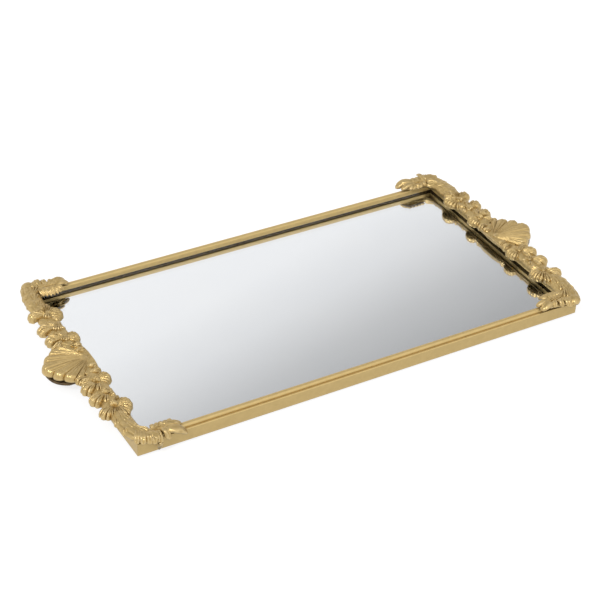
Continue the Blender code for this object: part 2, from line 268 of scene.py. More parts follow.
def noise(tree, scale, detail, roughness=0.5, stretch=None):
    """Noise in object space, scaled in cycles for each metre."""
    coordinates = tree.nodes.new("ShaderNodeTexCoord")
    source = coordinates.outputs["Object"]
    if stretch:
        mapping = node(tree, "ShaderNodeMapping", Scale=stretch)
        tree.links.new(source, mapping.inputs["Vector"])
        source = mapping.outputs["Vector"]
    made = node(tree, "ShaderNodeTexNoise", Scale=scale, Detail=detail, Roughness=roughness)
    tree.links.new(source, made.inputs["Vector"])
    return made.outputs["Fac"]


def slanting_noise(tree, source, slant, along, scale):
    """Noise drawn out along a slant in plan, given in degrees."""
    turned = node(tree, "ShaderNodeMapping", Rotation=(0, 0, radians(slant)))
    tree.links.new(source, turned.inputs["Vector"])
    stretched = node(tree, "ShaderNodeMapping", Scale=(along, 1.0, 0.6))
    tree.links.new(turned.outputs["Vector"], stretched.inputs["Vector"])
    made = node(tree, "ShaderNodeTexNoise", Scale=scale, Detail=2.0, Roughness=0.5)
    tree.links.new(stretched.outputs["Vector"], made.inputs["Vector"])
    return made.outputs["Fac"]


def strokes(tree):
    """Chisel strokes in object space: short and slanting along the ends, and long round the corners."""
    coordinates = tree.nodes.new("ShaderNodeTexCoord")
    size = tree.nodes.new("ShaderNodeVectorMath")
    size.operation = "ABSOLUTE"
    tree.links.new(coordinates.outputs["Object"], size.inputs[0])
    parts = tree.nodes.new("ShaderNodeSeparateXYZ")
    tree.links.new(size.outputs["Vector"], parts.inputs["Vector"])
    corner = node(tree, "ShaderNodeMapRange", From_Min=0.062, From_Max=0.070)
    tree.links.new(parts.outputs["Y"], corner.inputs["Value"])
    blend = tree.nodes.new("ShaderNodeMix")
    tree.links.new(corner.outputs["Result"], blend.inputs["Factor"])
    tree.links.new(slanting_noise(tree, size.outputs["Vector"], -50, 0.28, 620.0), blend.inputs["A"])
    tree.links.new(slanting_noise(tree, size.outputs["Vector"], 48, 0.12, 440.0), blend.inputs["B"])
    return blend.outputs["Result"]


def set_bump(tree, shader, height, strength, distance):
    """Fine relief from a height that a socket gives. Distance is in metres."""
    bump = node(tree, "ShaderNodeBump", Strength=strength, Distance=distance)
    tree.links.new(height, bump.inputs["Height"])
    tree.links.new(bump.outputs["Normal"], shader.inputs["Normal"])


def rail_paint(name, shade):
    """The satin gold paint of the rails: metallic and mottled. A shade under 1 makes a darker copy of it, as
    painted shade.
    """
    made, tree, shader = new_material(name)
    mottle = level_ramp(tree, noise(tree, 260, 4, 0.6), (0.35, 0), (0.7, 1))
    low, high = [tuple(shade * level for level in colour) for colour in RAIL_GOLD]
    tree.links.new(mix_colours(tree, mottle, low, high), shader.inputs["Base Color"])
    shader.inputs["Metallic"].default_value = 0.7
    rough = level_ramp(tree, noise(tree, 900, 3), (0.3, 0.36), (0.7, 0.46))
    tree.links.new(rough, shader.inputs["Roughness"])
    set_bump(tree, shader, noise(tree, 1600, 3), 0.10, 0.0002)
    return made


def carved_paint(name, cutting):
    """The same paint on castings, made darker as painted shade. It turns darker in recesses as antique glaze and
    painted shade, darker on undersides as painted shade, and bright on worn edges, which is partly a painted
    highlight.

    Cutting is how strong the chisel strokes' relief is, and how dark the painted shade in them is.
    """
    made, tree, shader = new_material(name)
    mottle = level_ramp(tree, noise(tree, 260, 4, 0.6), (0.35, 0), (0.7, 1))
    # A darker copy of the rail gold: painted shade.
    colour = mix_colours(tree, mottle, *CAST_GOLD_SHADED)
    geometry = tree.nodes.new("ShaderNodeNewGeometry")
    # Edges that stand out turn bright: partly wear, partly a painted highlight.
    worn_and_highlight_share = level_ramp(tree, geometry.outputs["Pointiness"], (0.50, 0), (0.58, 1))
    colour = mix_colours(tree, worn_and_highlight_share, colour, WORN_AND_HIGHLIGHT_GOLD)
    # Recesses turn darker: antique glaze and painted shade.
    around = node(tree, "ShaderNodeAmbientOcclusion", Distance=0.0030)
    around.samples = 8
    glaze_and_shade_share = level_ramp(tree, around.outputs["AO"], (0.20, 0.55), (0.72, 0))
    colour = mix_colours(tree, glaze_and_shade_share, colour, RECESS_GLAZE_AND_SHADE)
    # Faces that look down turn darker: painted shade under overhangs.
    parts = tree.nodes.new("ShaderNodeSeparateXYZ")
    tree.links.new(geometry.outputs["Normal"], parts.inputs["Vector"])
    below = node(tree, "ShaderNodeMapRange", From_Min=-0.08, From_Max=-0.50, To_Max=0.80)
    tree.links.new(parts.outputs["Z"], below.inputs["Value"])
    colour = mix_colours(tree, below.outputs["Result"], colour, UNDERSIDE_SHADE_GOLD)
    # The chisel strokes turn darker in their grooves: painted shade.
    cuts = level_ramp(tree, strokes(tree), (0.30, 0.56 * cutting), (0.48, 0))
    colour = mix_colours(tree, cuts, colour, STROKE_SHADE_GOLD)
    tree.links.new(colour, shader.inputs["Base Color"])
    shader.inputs["Metallic"].default_value = 0.8
    rough = level_ramp(tree, noise(tree, 900, 3), (0.3, 0.34), (0.7, 0.42))
    tree.links.new(rough, shader.inputs["Roughness"])
    set_bump(tree, shader, strokes(tree), cutting, 0.0012)
    return made


def tongue_shade_paint():
    """A dark paint on the tongue under the handle: painted shade."""
    made, tree, shader = new_material("tongue_painted_shade")
    mottle = colour_ramp(tree, noise(tree, 300, 4), (0.35, TONGUE_SHADE_COLOURS[0]), (0.65, TONGUE_SHADE_COLOURS[1]))
    tree.links.new(mottle, shader.inputs["Base Color"])
    shader.inputs["Metallic"].default_value = 0.5
    shader.inputs["Roughness"].default_value = 0.5
    return made


def clear_glass():
    """The pane over the silver: clear, with a trace of green."""
    made, _, shader = new_material("clear_glass")
    shader.inputs["Base Color"].default_value = GLASS_TINT
    shader.inputs["Roughness"].default_value = 0.0
    shader.inputs["Transmission Weight"].default_value = 1.0
    shader.inputs["IOR"].default_value = 1.52
    return made


def silvering():
    """The mirror coat on the back of the glass, with a trace of unevenness."""
    made, tree, shader = new_material("silvering")
    haze = colour_ramp(tree, noise(tree, 14, 2), (0.3, SILVER[0]), (0.7, SILVER[1]))
    tree.links.new(haze, shader.inputs["Base Color"])
    shader.inputs["Metallic"].default_value = 1.0
    shader.inputs["Roughness"].default_value = 0.0
    return made


def raw_board(name, tones, gloss):
    """Pressed fibre board, or the rail's core in the rebate, whose dark tones there are partly painted shade
    under the lip.
    """
    made, tree, shader = new_material(name)
    fibres = colour_ramp(tree, noise(tree, 700, 5, 0.7, (1, 3, 1)), (0.35, tones[0]), (0.65, tones[1]))
    tree.links.new(fibres, shader.inputs["Base Color"])
    shader.inputs["Roughness"].default_value = 0.85
    shader.inputs["Specular IOR Level"].default_value = gloss
    set_bump(tree, shader, noise(tree, 1500, 4), 0.3, 0.0002)
    return made


def plated_steel():
    """Zinc plated steel, for the angles, glazing points and screws."""
    made, tree, shader = new_material("plated_steel")
    streaks = colour_ramp(tree, noise(tree, 500, 3), (0.3, STEEL[0]), (0.7, STEEL[1]))
    tree.links.new(streaks, shader.inputs["Base Color"])
    shader.inputs["Metallic"].default_value = 1.0
    rough = level_ramp(tree, noise(tree, 1200, 2), (0.3, 0.28), (0.7, 0.42))
    tree.links.new(rough, shader.inputs["Roughness"])
    return made


def felt_cloth():
    """Black felt: short tangled fibres with a soft sheen."""
    made, tree, shader = new_material("felt_cloth")
    fibres = colour_ramp(tree, noise(tree, 2200, 6, 0.75), (0.3, FELT[0]), (0.7, FELT[1]))
    tree.links.new(fibres, shader.inputs["Base Color"])
    shader.inputs["Roughness"].default_value = 0.95
    shader.inputs["Sheen Weight"].default_value = 0.35
    shader.inputs["Sheen Roughness"].default_value = 0.5
    set_bump(tree, shader, noise(tree, 1800, 6, 0.7), 0.7, 0.0004)
    return made


# ---------------------------------------------------------------- rails


def rounded(centre, radii, start, end, steps, power=2.0):
    """Points along a superellipse, angles in degrees. A power of 2 makes an ellipse."""
    points = []
    for i in range(steps + 1):
        turn = radians(start + (end - start) * i / steps)
        c, s = cos(turn), sin(turn)
        x = abs(c) ** (2 / power) * (1 if c > 0 else -1)
        y = abs(s) ** (2 / power) * (1 if s > 0 else -1)
        points.append((centre[0] + radii[0] * x, centre[1] + radii[1] * y))
    return points


def rail_profile():
    """The moulding as (distance in from the outer face, height over the rail's base), anticlockwise."""
    foot = [(EASED_EDGE, 0), (WALL_THICKNESS, 0), (WALL_THICKNESS, LIP_UNDERSIDE)]
    lip = [(RAIL_WIDTH - EASED_EDGE, LIP_UNDERSIDE), (RAIL_WIDTH, LIP_UNDERSIDE + EASED_EDGE)]
    size = (RAIL_WIDTH - BEAD_MIDDLE, RAIL_HEIGHT - BEAD_FOOT)
    bead = rounded((BEAD_MIDDLE, BEAD_FOOT), size, 0, 180, 28, BEAD_POWER)
    drops = ((1.95, 0.40), (1.60, 0.30), (1.42, 0.06), (1.25, 0.0))
    groove = [(inward, WALL_HEIGHT - drop) for inward, drop in drops]
    edge = rounded((OUTER_ROUND, WALL_HEIGHT - OUTER_ROUND), (OUTER_ROUND, OUTER_ROUND), 90, 180, 8)
    return foot + lip + bead + groove + edge + [(0, EASED_EDGE)]


def mitred_section(side, end, profile, trim=0.0):
    """A profile's points in the mitre plane at one end (-1 or 1) of a side of the frame."""
    along_x = side in ("front", "back")
    sign = 1 if side in ("back", "right") else -1
    span, off = (HALF_LENGTH, HALF_DEPTH) if along_x else (HALF_DEPTH, HALF_LENGTH)
    section = []
    for inward, height in profile:
        along, across = end * (span - inward - trim), sign * (off - inward)
        x, y = (along, across) if along_x else (across, along)
        section.append((x, y, RAIL_BASE + height))
    return section


def rail_surface(face, along_x):
    """Which of a rail's materials a face takes: 0 on the top, 1 in the rebate, a dark core that is partly
    painted shade, 2 on the outer wall, a darker copy of the paint as painted shade.
    """
    lip_z = (RAIL_BASE + LIP_UNDERSIDE + 0.1) * MM
    wall = ((HALF_DEPTH if along_x else HALF_LENGTH) - 1.0) * MM
    reach = abs(face.center.y if along_x else face.center.x)
    facing_down = face.normal.z < -0.9
    rebate_side = abs(face.normal.z) < 0.1 and face.center.z < lip_z
    # The rebate's faces take the dark core, partly painted shade under the lip.
    if reach < wall and (facing_down or rebate_side):
        return 1
    # The outer wall takes the darker copy of the paint: painted shade.
    if reach > wall and abs(face.normal.z) < 0.3:
        return 2
    return 0


def make_rail(side, surfaces):
    """One mitred rail, in its three materials."""
    profile = rail_profile()
    ends = [mitred_section(side, end, profile, MITRE_GAP) for end in (-1, 1)]
    steps = 24
    sections = []
    for i in range(steps + 1):
        share = i / steps
        sections.append([tuple(a[k] * (1 - share) + b[k] * share for k in range(3)) for a, b in zip(*ends)])
    rail = loft(side + "_rail_moulding", sections)
    for surface in surfaces:
        rail.data.materials.append(surface)
    for face in rail.data.polygons:
        face.material_index = rail_surface(face, side in ("front", "back"))
    set_sharp(rail, 35)
    return rail


# ---------------------------------------------------------------- glass, felt


def make_glass(glass, silver):
    """The pane: clear above and silvered below, with a small bevel round its top."""
    low, high = GLASS_LOW, GLASS_HIGH
    points = []
    for z, inset in ((low.z, 0), (high.z - GLASS_BEVEL, 0), (high.z, GLASS_BEVEL)):
        for sx, sy in ((-1, -1), (1, -1), (1, 1), (-1, 1)):
            points.append((sx * (high.x - inset), sy * (high.y - inset), z))
    faces = [(3, 2, 1, 0), (8, 9, 10, 11)]
    for ring in (0, 4):
        for j in range(4):
            k = (j + 1) % 4
            faces.append((ring + j, ring + k, ring + 4 + k, ring + 4 + j))
    pane = mesh_object("mirror_pane", points, faces)
    pane.data.shade_flat()
    pane.data.materials.append(glass)
    pane.data.materials.append(silver)
    for face in pane.data.polygons:
        if face.normal.z < -0.9:
            face.material_index = 1
    return pane


def make_felt(cloth):
    """The felt under the tray, a sheet with round corners and a slightly soft rim."""
    reach_x, reach_y = FELT_HIGH.x, FELT_HIGH.y
    outline = []
    for i, (sx, sy) in enumerate(((1, 1), (-1, 1), (-1, -1), (1, -1))):
        centre = (sx * (reach_x - FELT_CORNER), sy * (reach_y - FELT_CORNER))
        outline += rounded(centre, (FELT_CORNER, FELT_CORNER), 90 * i, 90 * i + 90, 10)
    levels = ((0.0, 0.25), (0.2, 0.05), (0.5, 0.0), (0.75, 0.05), (FELT_HIGH.z, 0.25))
    sections = []
    for z, inset in levels:
        sections.append([(x * (1 - inset / reach_x), y * (1 - inset / reach_y), z) for x, y in outline])
    felt = loft("felt_sheet", sections)
    felt.data.materials.append(cloth)
    set_sharp(felt, 60)
    return felt


# ---------------------------------------------------------------- ornament primitives


def curve_through(points, steps):
    """Points on a smooth curve through the given ones, evenly spread by index."""
    given = [Vector(p) for p in points]
    given = [2 * given[0] - given[1]] + given + [2 * given[-1] - given[-2]]
    spans = len(given) - 3
    made = []
    for i in range(steps + 1):
        place = spans * i / steps
        k = min(int(place), spans - 1)
        t = place - k
        a, b, c, d = given[k:k + 4]
        rest = (2 * a - 5 * b + 4 * c - d) * t * t + (3 * b - a - 3 * c + d) * t ** 3
        made.append(0.5 * (2 * b + (c - a) * t + rest))
    return made


def frames_along(path):
    """For each point of a path: the point, the sideways vector (level) and the upward one."""
    made = []
    for i, point in enumerate(path):
        ahead = path[min(i + 1, len(path) - 1)] - path[max(i - 1, 0)]
        ahead.normalize()
        side = Vector((ahead.y, -ahead.x, 0))
        if side.length < 1e-4:
            side = Vector((1, 0, 0))
        side.normalize()
        made.append((point, side, side.cross(ahead).normalized()))
    return made


def gadroon(place):
    """Round ridges with sharp valleys between them, one to each unit: 0 in a valley and 1 on a ridge."""
    return abs(sin(pi * place)) ** 0.7


def finger(path, half, flutes=2):
    """A leaf finger along a path from root to tip, fluted above and round below. Half is its half width."""
    steps, around = 24, 28
    root, round_tip = 0.75, 0.34
    crown, belly, depth = 0.62, 0.5, 0.45
    sections = []
    for i, (point, side, up) in enumerate(frames_along(curve_through(path, steps))):
        t = i / steps
        swell = root + (1 - root) * sin(pi / 2 * min(1, t / 0.55))
        past = max(0.0, t - (1 - round_tip)) / round_tip
        close = sqrt(max(0.0, 1 - past ** 2))
        width = half * swell * max(0.05, close)
        groove = depth * smoothstep(t, 0.02, 0.25) * close
        ring = []
        for j in range(around):
            turn = 2 * pi * j / around
            across, rise = cos(turn), sin(turn)
            if rise >= 0:
                lift = crown * width * rise ** 0.8
                lift -= groove * (1 - gadroon(flutes * (across + 1) / 2)) * min(1.0, 2 * rise)
            else:
                lift = belly * width * rise
            ring.append(point + side * (across * width) + up * lift)
        sections.append(ring)
    return loft("finger", sections)


def tube(path, radii, flat, ridges, depth, steps, around):
    """A rounded bar along a path, with ridges along its upper side. Flat is its height over its width."""
    cap = 0.08
    sections = []
    for i, (point, side, up) in enumerate(frames_along(curve_through(path, steps))):
        t = i / steps
        place = t * (len(radii) - 1)
        k = min(int(place), len(radii) - 2)
        radius = radii[k] + (radii[k + 1] - radii[k]) * (place - k)
        from_end = min(t, 1 - t)
        if from_end < cap:
            radius *= sqrt(max(0.01, 1 - (1 - from_end / cap) ** 2))
        ring = []
        for j in range(around):
            turn = 2 * pi * j / around
            valley = 1 - gadroon(ridges * turn / pi) if turn < pi else 0.0
            reach = radius - depth * valley * sin(turn) ** 0.5 if valley else radius
            ring.append(point + side * (cos(turn) * reach) + up * (sin(turn) * reach * flat))
        sections.append(ring)
    return loft("tube", sections)


def fan(hinge, towards, reach, spread, crest, tip, lobes, ribs, notch=0.10, relief=0.48, root=15.0,
        floor=LEAF_FLOOR):
    """A leaf spread out from a hinge, its rim cut into round lobes and its end curled down.

    Towards and spread are the middle's direction and the half angle, in degrees. Root, crest, tip and floor
    are heights. Notch is how far the rim is cut in, as a share of the reach, and relief is the groove's depth
    along each rib.
    """
    turns, rings = max(24, 14 * lobes), 20
    start, droop, dome, thick, curl = 0.6, 0.25, 1.6, 2.2, 0.34
    sections = []
    for i in range(turns + 1):
        u = 2 * i / turns - 1
        turn = radians(towards + spread * u)
        place = (u + 1) / 2 * lobes
        bulge = abs(sin(pi * place)) ** 0.55
        rim = reach * (1 - droop * abs(u) ** 2.4) * (1 - notch * (1 - bulge))
        groove = relief * (1 - gadroon(place * ribs))
        end = tip - 0.3 * dome * abs(u)
        upper, lower = [], []
        for j in range(rings + 1):
            s = 1 - (1 - j / rings) ** 1.6
            r = start + (rim - start) * s
            z = root + (crest - root) * sin(pi / 2 * min(1.0, s / 0.5))
            z -= dome * abs(u) ** 2.2 * smoothstep(s, 0.0, 0.6)
            z += 0.8 * (bulge - 0.8) * smoothstep(s, 0.2, 0.7)
            z -= groove * smoothstep(s, 0.1, 0.35)
            past = max(0.0, s - (1 - curl)) / curl
            if past > 0:
                z = end + (z - end) * sqrt(max(0.0, 1 - past ** 2.4))
            upper.append((hinge[0] + r * cos(turn), hinge[1] + r * sin(turn), z))
            below = min(z - 0.5, max(floor, z - thick) if s > 0.45 else floor)
            r *= 0.985
            lower.append((hinge[0] + r * cos(turn), hinge[1] + r * sin(turn), below))
        sections.append(upper + lower[::-1])
    return loft("fan", sections)


def ball(centre, radii, sides, rings):
    """An ellipsoid."""
    points = [(centre[0], centre[1], centre[2] - radii[2])]
    for i in range(1, rings):
        tilt = pi * i / rings
        for j in range(sides):
            turn = 2 * pi * j / sides
            x = centre[0] + radii[0] * sin(tilt) * cos(turn)
            y = centre[1] + radii[1] * sin(tilt) * sin(turn)
            points.append((x, y, centre[2] - radii[2] * cos(tilt)))
    points.append((centre[0], centre[1], centre[2] + radii[2]))
    last = len(points) - 1
    faces = []
    for j in range(sides):
        k = (j + 1) % sides
        faces.append((0, 1 + k, 1 + j))
        for i in range(rings - 2):
            a, b = 1 + i * sides, 1 + (i + 1) * sides
            faces.append((a + j, a + k, b + k, b + j))
        top = 1 + (rings - 2) * sides
        faces.append((top + j, top + k, last))
    return mesh_object("ball", points, faces)


# ---------------------------------------------------------------- end casting


def side_leaves(sign):
    """The leaves along the end rail, from the shell to the corner scroll, on one half of the casting."""
    near = 0.0 if sign > 0 else FRONT_SHIFT
    fans = [
        # hinge x and y, direction, reach, half angle, crest and tip heights, lobes
        (172.6, 54.8, 30, 14.2, 27, 17.6, 12.4, 3),
        (172.8, 55.5, 68, 11.6, 24, 17.4, 14.6, 3),
        (172.2, 56.0, 104, 13.0, 24, 17.6, 15.4, 4),
        (173.2, 55.0, 166, 12.4, 52, 17.6, 12.8, 7),
        (172.4, 53.6, 232, 8.8, 20, 17.0, 14.6, 2),
        (172.0, 41.4 - near, 18, 14.2, 30, 17.9, 12.2, 3),
        (172.4, 41.8 - near, 66, 9.4, 22, 17.3, 14.8, 2),
        (172.6, 41.6 - near, 128, 6.8, 26, 16.8, 14.4, 2),
        (172.0, 40.6 - near, 200, 5.4, 40, 16.2, 13.6, 3),
        (172.2, 28.2 - near, 20, 14.0, 30, 17.6, 12.0, 3),
        (172.4, 28.6 - near, 72, 9.8, 24, 17.4, 14.8, 2),
        (172.0, 26.0 - 0.6 * near, -22, 11.0, 24, 16.4, 12.2, 2),
        (172.6, 25.0, 178, 10.9, 52, 17.3, 12.8, 7),
        (173.0, 16.6, 192, 8.8, 36, 16.8, 13.6, 4),
        (172.0, 9.6, 176, 7.4, 34, 16.6, 13.8, 3),
        (176.0, 18.6, 12, 9.0, 34, 15.8, 12.4, 3),
    ]
    made = []
    for x, y, towards, reach, spread, crest, tip, lobes in fans:
        broad = lobes > 5
        ribs, notch, relief = (1, 0.04, 0.30) if broad else (2, 0.10, 0.48)
        leaf = fan((x, sign * y), sign * towards, reach, spread, crest, tip, lobes, ribs, notch, relief)
        made.append(leaf)
    for x, y in ((171.2, 57.4), (170.8, 43.4 - near), (170.8, 29.4 - 0.7 * near)):
        bud = fan((x, sign * y), sign * -62, 6.4, 44, 17.9, 16.2, 4, 1, root=16.6, floor=14.0)
        made.append(bud)
    return made


def scroll(sign):
    """The C-scroll that runs round one corner: a ridged bar under five long, overlapping leaves."""
    if sign > 0:
        end = [(173.9, 80, 14.1), (171.8, 87.4, 14.1), (167.4, 91.8, 14.0), (160.5, 93.0, 13.8)]
    else:
        end = [(174.2, 80, 14.1), (173.0, 87, 14.2), (171.4, 94.6, 14.2)]
    path = [(x, sign * y, z) for x, y, z in [(173.8, 61.5, 13.8), (174.6, 70, 14.1)] + end]
    made = [tube(path, (5.2, 6.2, 6.1, 5.8, 4.9), 0.58, 4, 0.8, 64, 80)]
    leaves = [
        # hinge x and y, direction, reach, half angle, crest and tip heights, lobes
        (174.4, 63.0, 97, 12.5, 26, 18.1, 16.0, 4),
        (174.8, 71.5, 104, 13.0, 27, 18.0, 15.6, 4),
        (173.0, 80.0, 122, 13.5, 25, 18.0, 15.4, 4),
        (176.0, 66.0, 70, 9.6, 24, 17.0, 13.4, 3),
        (176.0, 75.5, 78, 9.4, 24, 17.0, 13.4, 3),
    ]
    for x, y, towards, reach, spread, crest, tip, lobes in leaves:
        leaf = fan((x, sign * y), sign * towards, reach, spread, crest, tip, lobes, 1, root=16.2, floor=13.2)
        made.append(leaf)
    return made


def back_corner_leaf():
    """The acanthus leaf round the corner at y > 0, with one finger that hangs down the wall."""
    outer = [
        ([(171.0, 86.0, 15.6), (173.8, 91.4, 17.0), (176.0, 95.0, 12.6)], 2.3),
        ([(168.8, 87.6, 15.6), (170.9, 93.6, 17.3), (172.4, 97.2, 12.4)], 2.4),
        ([(166.0, 89, 15.0), (167.2, 94.8, 17.0), (168.2, 98.2, 12.0)], 2.4),
        ([(163.0, 89, 15.0), (164.2, 95.4, 17.0), (164.8, 98.8, 11.4)], 2.3),
        ([(164.0, 90, 15.4), (163.6, 96.0, 18.2), (163.2, 100.2, 16.6)], 2.1),
        ([(160.0, 89, 15.0), (160.6, 95.8, 16.4), (160.9, 97.8, 11.0), (160.9, 96.0, 3.6)], 2.0),
        ([(156.6, 89, 15.0), (155.4, 95.0, 16.6), (154.4, 98.2, 10.6)], 2.5),
        ([(156.0, 90.6, 15.2), (149.0, 95.6, 16.0), (141.2, 97.0, 11.4)], 3.7),
        ([(156.0, 88, 15.2), (149.0, 89.8, 16.6), (141.6, 89.6, 13.6)], 2.6),
    ]
    made = [finger(path, half) for path, half in outer]
    for k in range(5):
        root, tip = 152.2 + 2.4 * k, 147.2 + 3.3 * k
        reach = 84.6 - 0.7 * sin(pi * k / 4)
        made.append(finger([(root, 90, 15.0), ((root + tip) / 2, 87.0, 16.4), (tip, reach, 14.8)], 1.8, 1))
    made.append(fan((171.0, 88.6), 172, 27, 11, 17.6, 15.2, 6, 1, floor=13.0))
    return made


def front_corner_leaf():
    """The acanthus leaf round the corner at y < 0, with a knob and with fingers that droop over the glass."""
    outer = [
        ([(166.6, -88, 14.6), (168.0, -94.4, 16.2), (169.0, -98.2, 11.8)], 2.3),
        ([(164.4, -88, 14.8), (165.2, -95.0, 16.4), (165.8, -98.6, 12.2)], 2.2),
        ([(162.8, -88, 15.0), (163.4, -95.2, 17.0), (163.4, -98.8, 13.2)], 2.2),
        ([(159.6, -88, 15.0), (159.4, -93.8, 16.6), (159.0, -96.8, 13.4)], 2.1),
        ([(156.4, -89, 15.0), (154.4, -92.8, 16.4), (153.4, -95.2, 13.6)], 2.0),
        ([(156.0, -90, 14.6), (149.6, -91.9, 15.8), (142.8, -92.6, 12.8)], 3.2),
        ([(155.0, -87, 14.8), (148.6, -88.0, 16.0), (142.2, -87.4, 13.4)], 2.6),
    ]
    made = [finger(path, half) for path, half in outer]
    for k in range(7):
        root, tip = 154.4 + 2.0 * k, 149.0 + 2.6 * k
        reach = -81.2 + 3.2 * sin(pi * (0.05 + 0.13 * k))
        made.append(finger([(root, -88.5, 15.2), ((root + tip) / 2, -84.2, 16.2), (tip, reach, 13.6)], 1.75))
    made.append(fan((172.5, -86.6), 188, 27, 13, 17.7, 14.6, 6, 1, floor=13.0))
    made.append(ball((170.6, -94.4, 14.3), (5.2, 4.6, 3.5), 32, 20))
    return made


def casting_core():
    """The band under the leaves: along the end rail, round both corners and out along the long rails."""
    half = [(171.8, 0, 11.4), (171.8, 15, 11.6), (172.4, 30, 12.6), (172.4, 60, 12.8), (172.4, 74, 13.0),
            (170.8, 84, 13.2), (166.0, 89.8, 13.4), (158.0, 90.6, 13.4), (147.5, 90.8, 13.2)]
    path = [(x, -y, z) for x, y, z in reversed(half[1:])] + half
    return tube(path, (3.6, 4.7, 5.4, 5.5, 5.3, 5.5, 5.4, 4.7, 3.6), 0.60, 3, 0.4, 150, 48)


def seat_plate():
    """The oblong plate in the middle of the band, with the shell's root sunk into it."""
    middle = 171
    outline = rounded((middle, 0), (7.2, 18.5), 0, 360, 40, 3.0)[:-1]
    sections = []
    for z, grow in ((12.4, 0.97), (13.0, 1.0), (14.4, 1.0), (15.0, 0.96)):
        sections.append([(middle + (x - middle) * grow, y * grow, z) for x, y in outline])
    return loft("plate", sections)


def leaf_bed(sign):
    """The low, broad body that the leaves of one half stand on, its outer edge waved between them."""
    first, last, steps, around = 13.0, 64.0, 60, 28
    inward, outward, wave_depth, wave_length = 5.2, 7.6, 0.9, 14.5
    middle, rise, drop = 13.4, 2.7, 1.5
    rows = []
    for i in range(steps + 1):
        y = first + (last - first) * i / steps
        wave = wave_depth * sin(2 * pi * (y - 20) / wave_length)
        close = min(1.0, sqrt(i * (steps - i) / 500))
        outer = BAND_X + (outward + wave) * close
        inner = BAND_X - inward * close
        ring = []
        for j in range(around):
            turn = 2 * pi * j / around
            x = (outer + inner) / 2 + (outer - inner) / 2 * cos(turn)
            height = rise if turn < pi else -drop
            z = middle - 0.05 * (x - BAND_X) + height * close * abs(sin(turn)) ** 0.8
            ring.append((x, sign * y, z))
        rows.append(ring)
    return loft("bed", rows)


def tongue():
    """The flat tongue beyond the end rail, which carries the shell, and the web up to the band."""
    inner, middle = HALF_LENGTH + TONGUE_GAP, 183
    outline = [(inner, -16.6)] + rounded((184.0, 0), (13.4, 15.4), -90, 90, 28) + [(inner, 16.6)]
    sections = []
    for z, shrink in ((8.0, 0.965), (8.3, 0.99), (8.8, 1.0), (9.4, 1.0), (9.8, 0.98), (10.0, 0.94)):
        sections.append([(max(inner, middle + (x - middle) * shrink), y * shrink, z) for x, y in outline])
    web = [[(inner, -14, z), (178.0, -13, z), (178.0, 13, z), (inner, 14, z)] for z in (9.4, 14.0)]
    return [loft("tongue", sections), loft("web", web)]


def rail_envelope():
    """The space that the casting stays out of: the rails, with a small gap, and the air over the glass."""
    inner, top, shoulder = RAIL_WIDTH + RAIL_GAP, RAIL_HEIGHT + RAIL_GAP, WALL_HEIGHT + RAIL_GAP
    over_glass = [(inner + 16, -6), (inner + 16, 9.4), (inner + 2.0, 10.2), (inner, 10.5)]
    bead = [(6.1, 11.0), (5.3, top), (3.2, top), (2.3, 10.9), (1.9, 10.2)]
    wall = [(1.7, shoulder), (-RAIL_GAP, shoulder), (-RAIL_GAP, -6)]
    profile = over_glass + bead + wall
    front = [mitred_section("front", end, profile) for end in (-1, 1)]
    back = [mitred_section("back", end, profile) for end in (1, -1)]
    return loft("rail_envelope", front + back, closed=True)


def flatten_top(obj):
    """Presses whatever stands over the carving's limit softly down."""
    for vertex in obj.data.vertices:
        over = vertex.co.z / MM - CARVING_LIMIT
        if over > 0:
            vertex.co.z = (CARVING_LIMIT + CARVING_GIVE * over / (CARVING_GIVE + over)) * MM


def make_casting(paint, tongue_shade):
    """The right-hand casting: every leaf, scroll and plate as one solid, fitted round the rails."""
    pieces = [casting_core(), seat_plate()] + tongue() + back_corner_leaf() + front_corner_leaf()
    for sign in (1, -1):
        pieces += side_leaves(sign) + [leaf_bed(sign)] + scroll(sign)
    casting = pieces[0]
    casting.name = "right_casting"
    boolean(casting, pieces[1:], "UNION")
    chisel(casting, 0.32, 260)
    chisel(casting, 0.14, 620)
    flatten_top(casting)
    boolean(casting, [rail_envelope()], "DIFFERENCE")
    casting.data.materials.clear()
    casting.data.materials.append(paint)
    casting.data.materials.append(tongue_shade)
    # The tongue under the shell takes the dark paint: painted shade under the handle.
    for face in casting.data.polygons:
        if face.center.z < TONGUE_TOP * MM and face.center.x > (HALF_LENGTH + 1) * MM:
            face.material_index = 1
    set_sharp(casting, 50)
    return casting


# ---------------------------------------------------------------- shell handle


def shell_rim(angle):
    """The rim's reach at an angle, and how far round its lobe that is: 1 at the middle, 0 in a notch."""
    lobes = len(SHELL_LOBE_BULGES)
    k = max(i for i in range(lobes) if i == 0 or SHELL_NOTCHES[i] <= angle)
    share = (angle - SHELL_NOTCHES[k]) / (SHELL_NOTCHES[k + 1] - SHELL_NOTCHES[k])
    chord = SHELL_NOTCH_REACHES[k] * (1 - share) + SHELL_NOTCH_REACHES[k + 1] * share
    bulge = sqrt(max(0.0, 1 - (2 * share - 1) ** 2))
    return chord + SHELL_LOBE_BULGES[k] * bulge, bulge


def shell_top(angle, s, bulge, valley):
    """The height of the shell's top at a share s of the way to the rim. It rolls down to the underside there."""
    top = SHELL_TOP + SHELL_SWELL * sin(pi / 2 * min(1.0, 0.1 + 1.1 * s))
    top -= SHELL_SIDE_FALL * (angle / SHELL_NOTCHES[-1]) ** 2
    top += SHELL_LOBE_SWELL * (bulge - 0.85) * smoothstep(s, 0.30, 0.85)
    depth = SHELL_FLUTE_DEPTH * smoothstep(s, 0.06, 0.25) * (1 - 0.25 * smoothstep(s, 0.55, 0.9))
    top -= depth * valley * (1 - 0.5 * smoothstep(s, 0.9, 1.0))
    rolled = max(0.0, s - SHELL_ROLL_START) / (1 - SHELL_ROLL_START)
    fall = max(0.0, 1 - rolled ** 2.4) ** 0.45
    foot = SHELL_UNDERSIDE + 0.6
    return foot + (top - foot) * fall


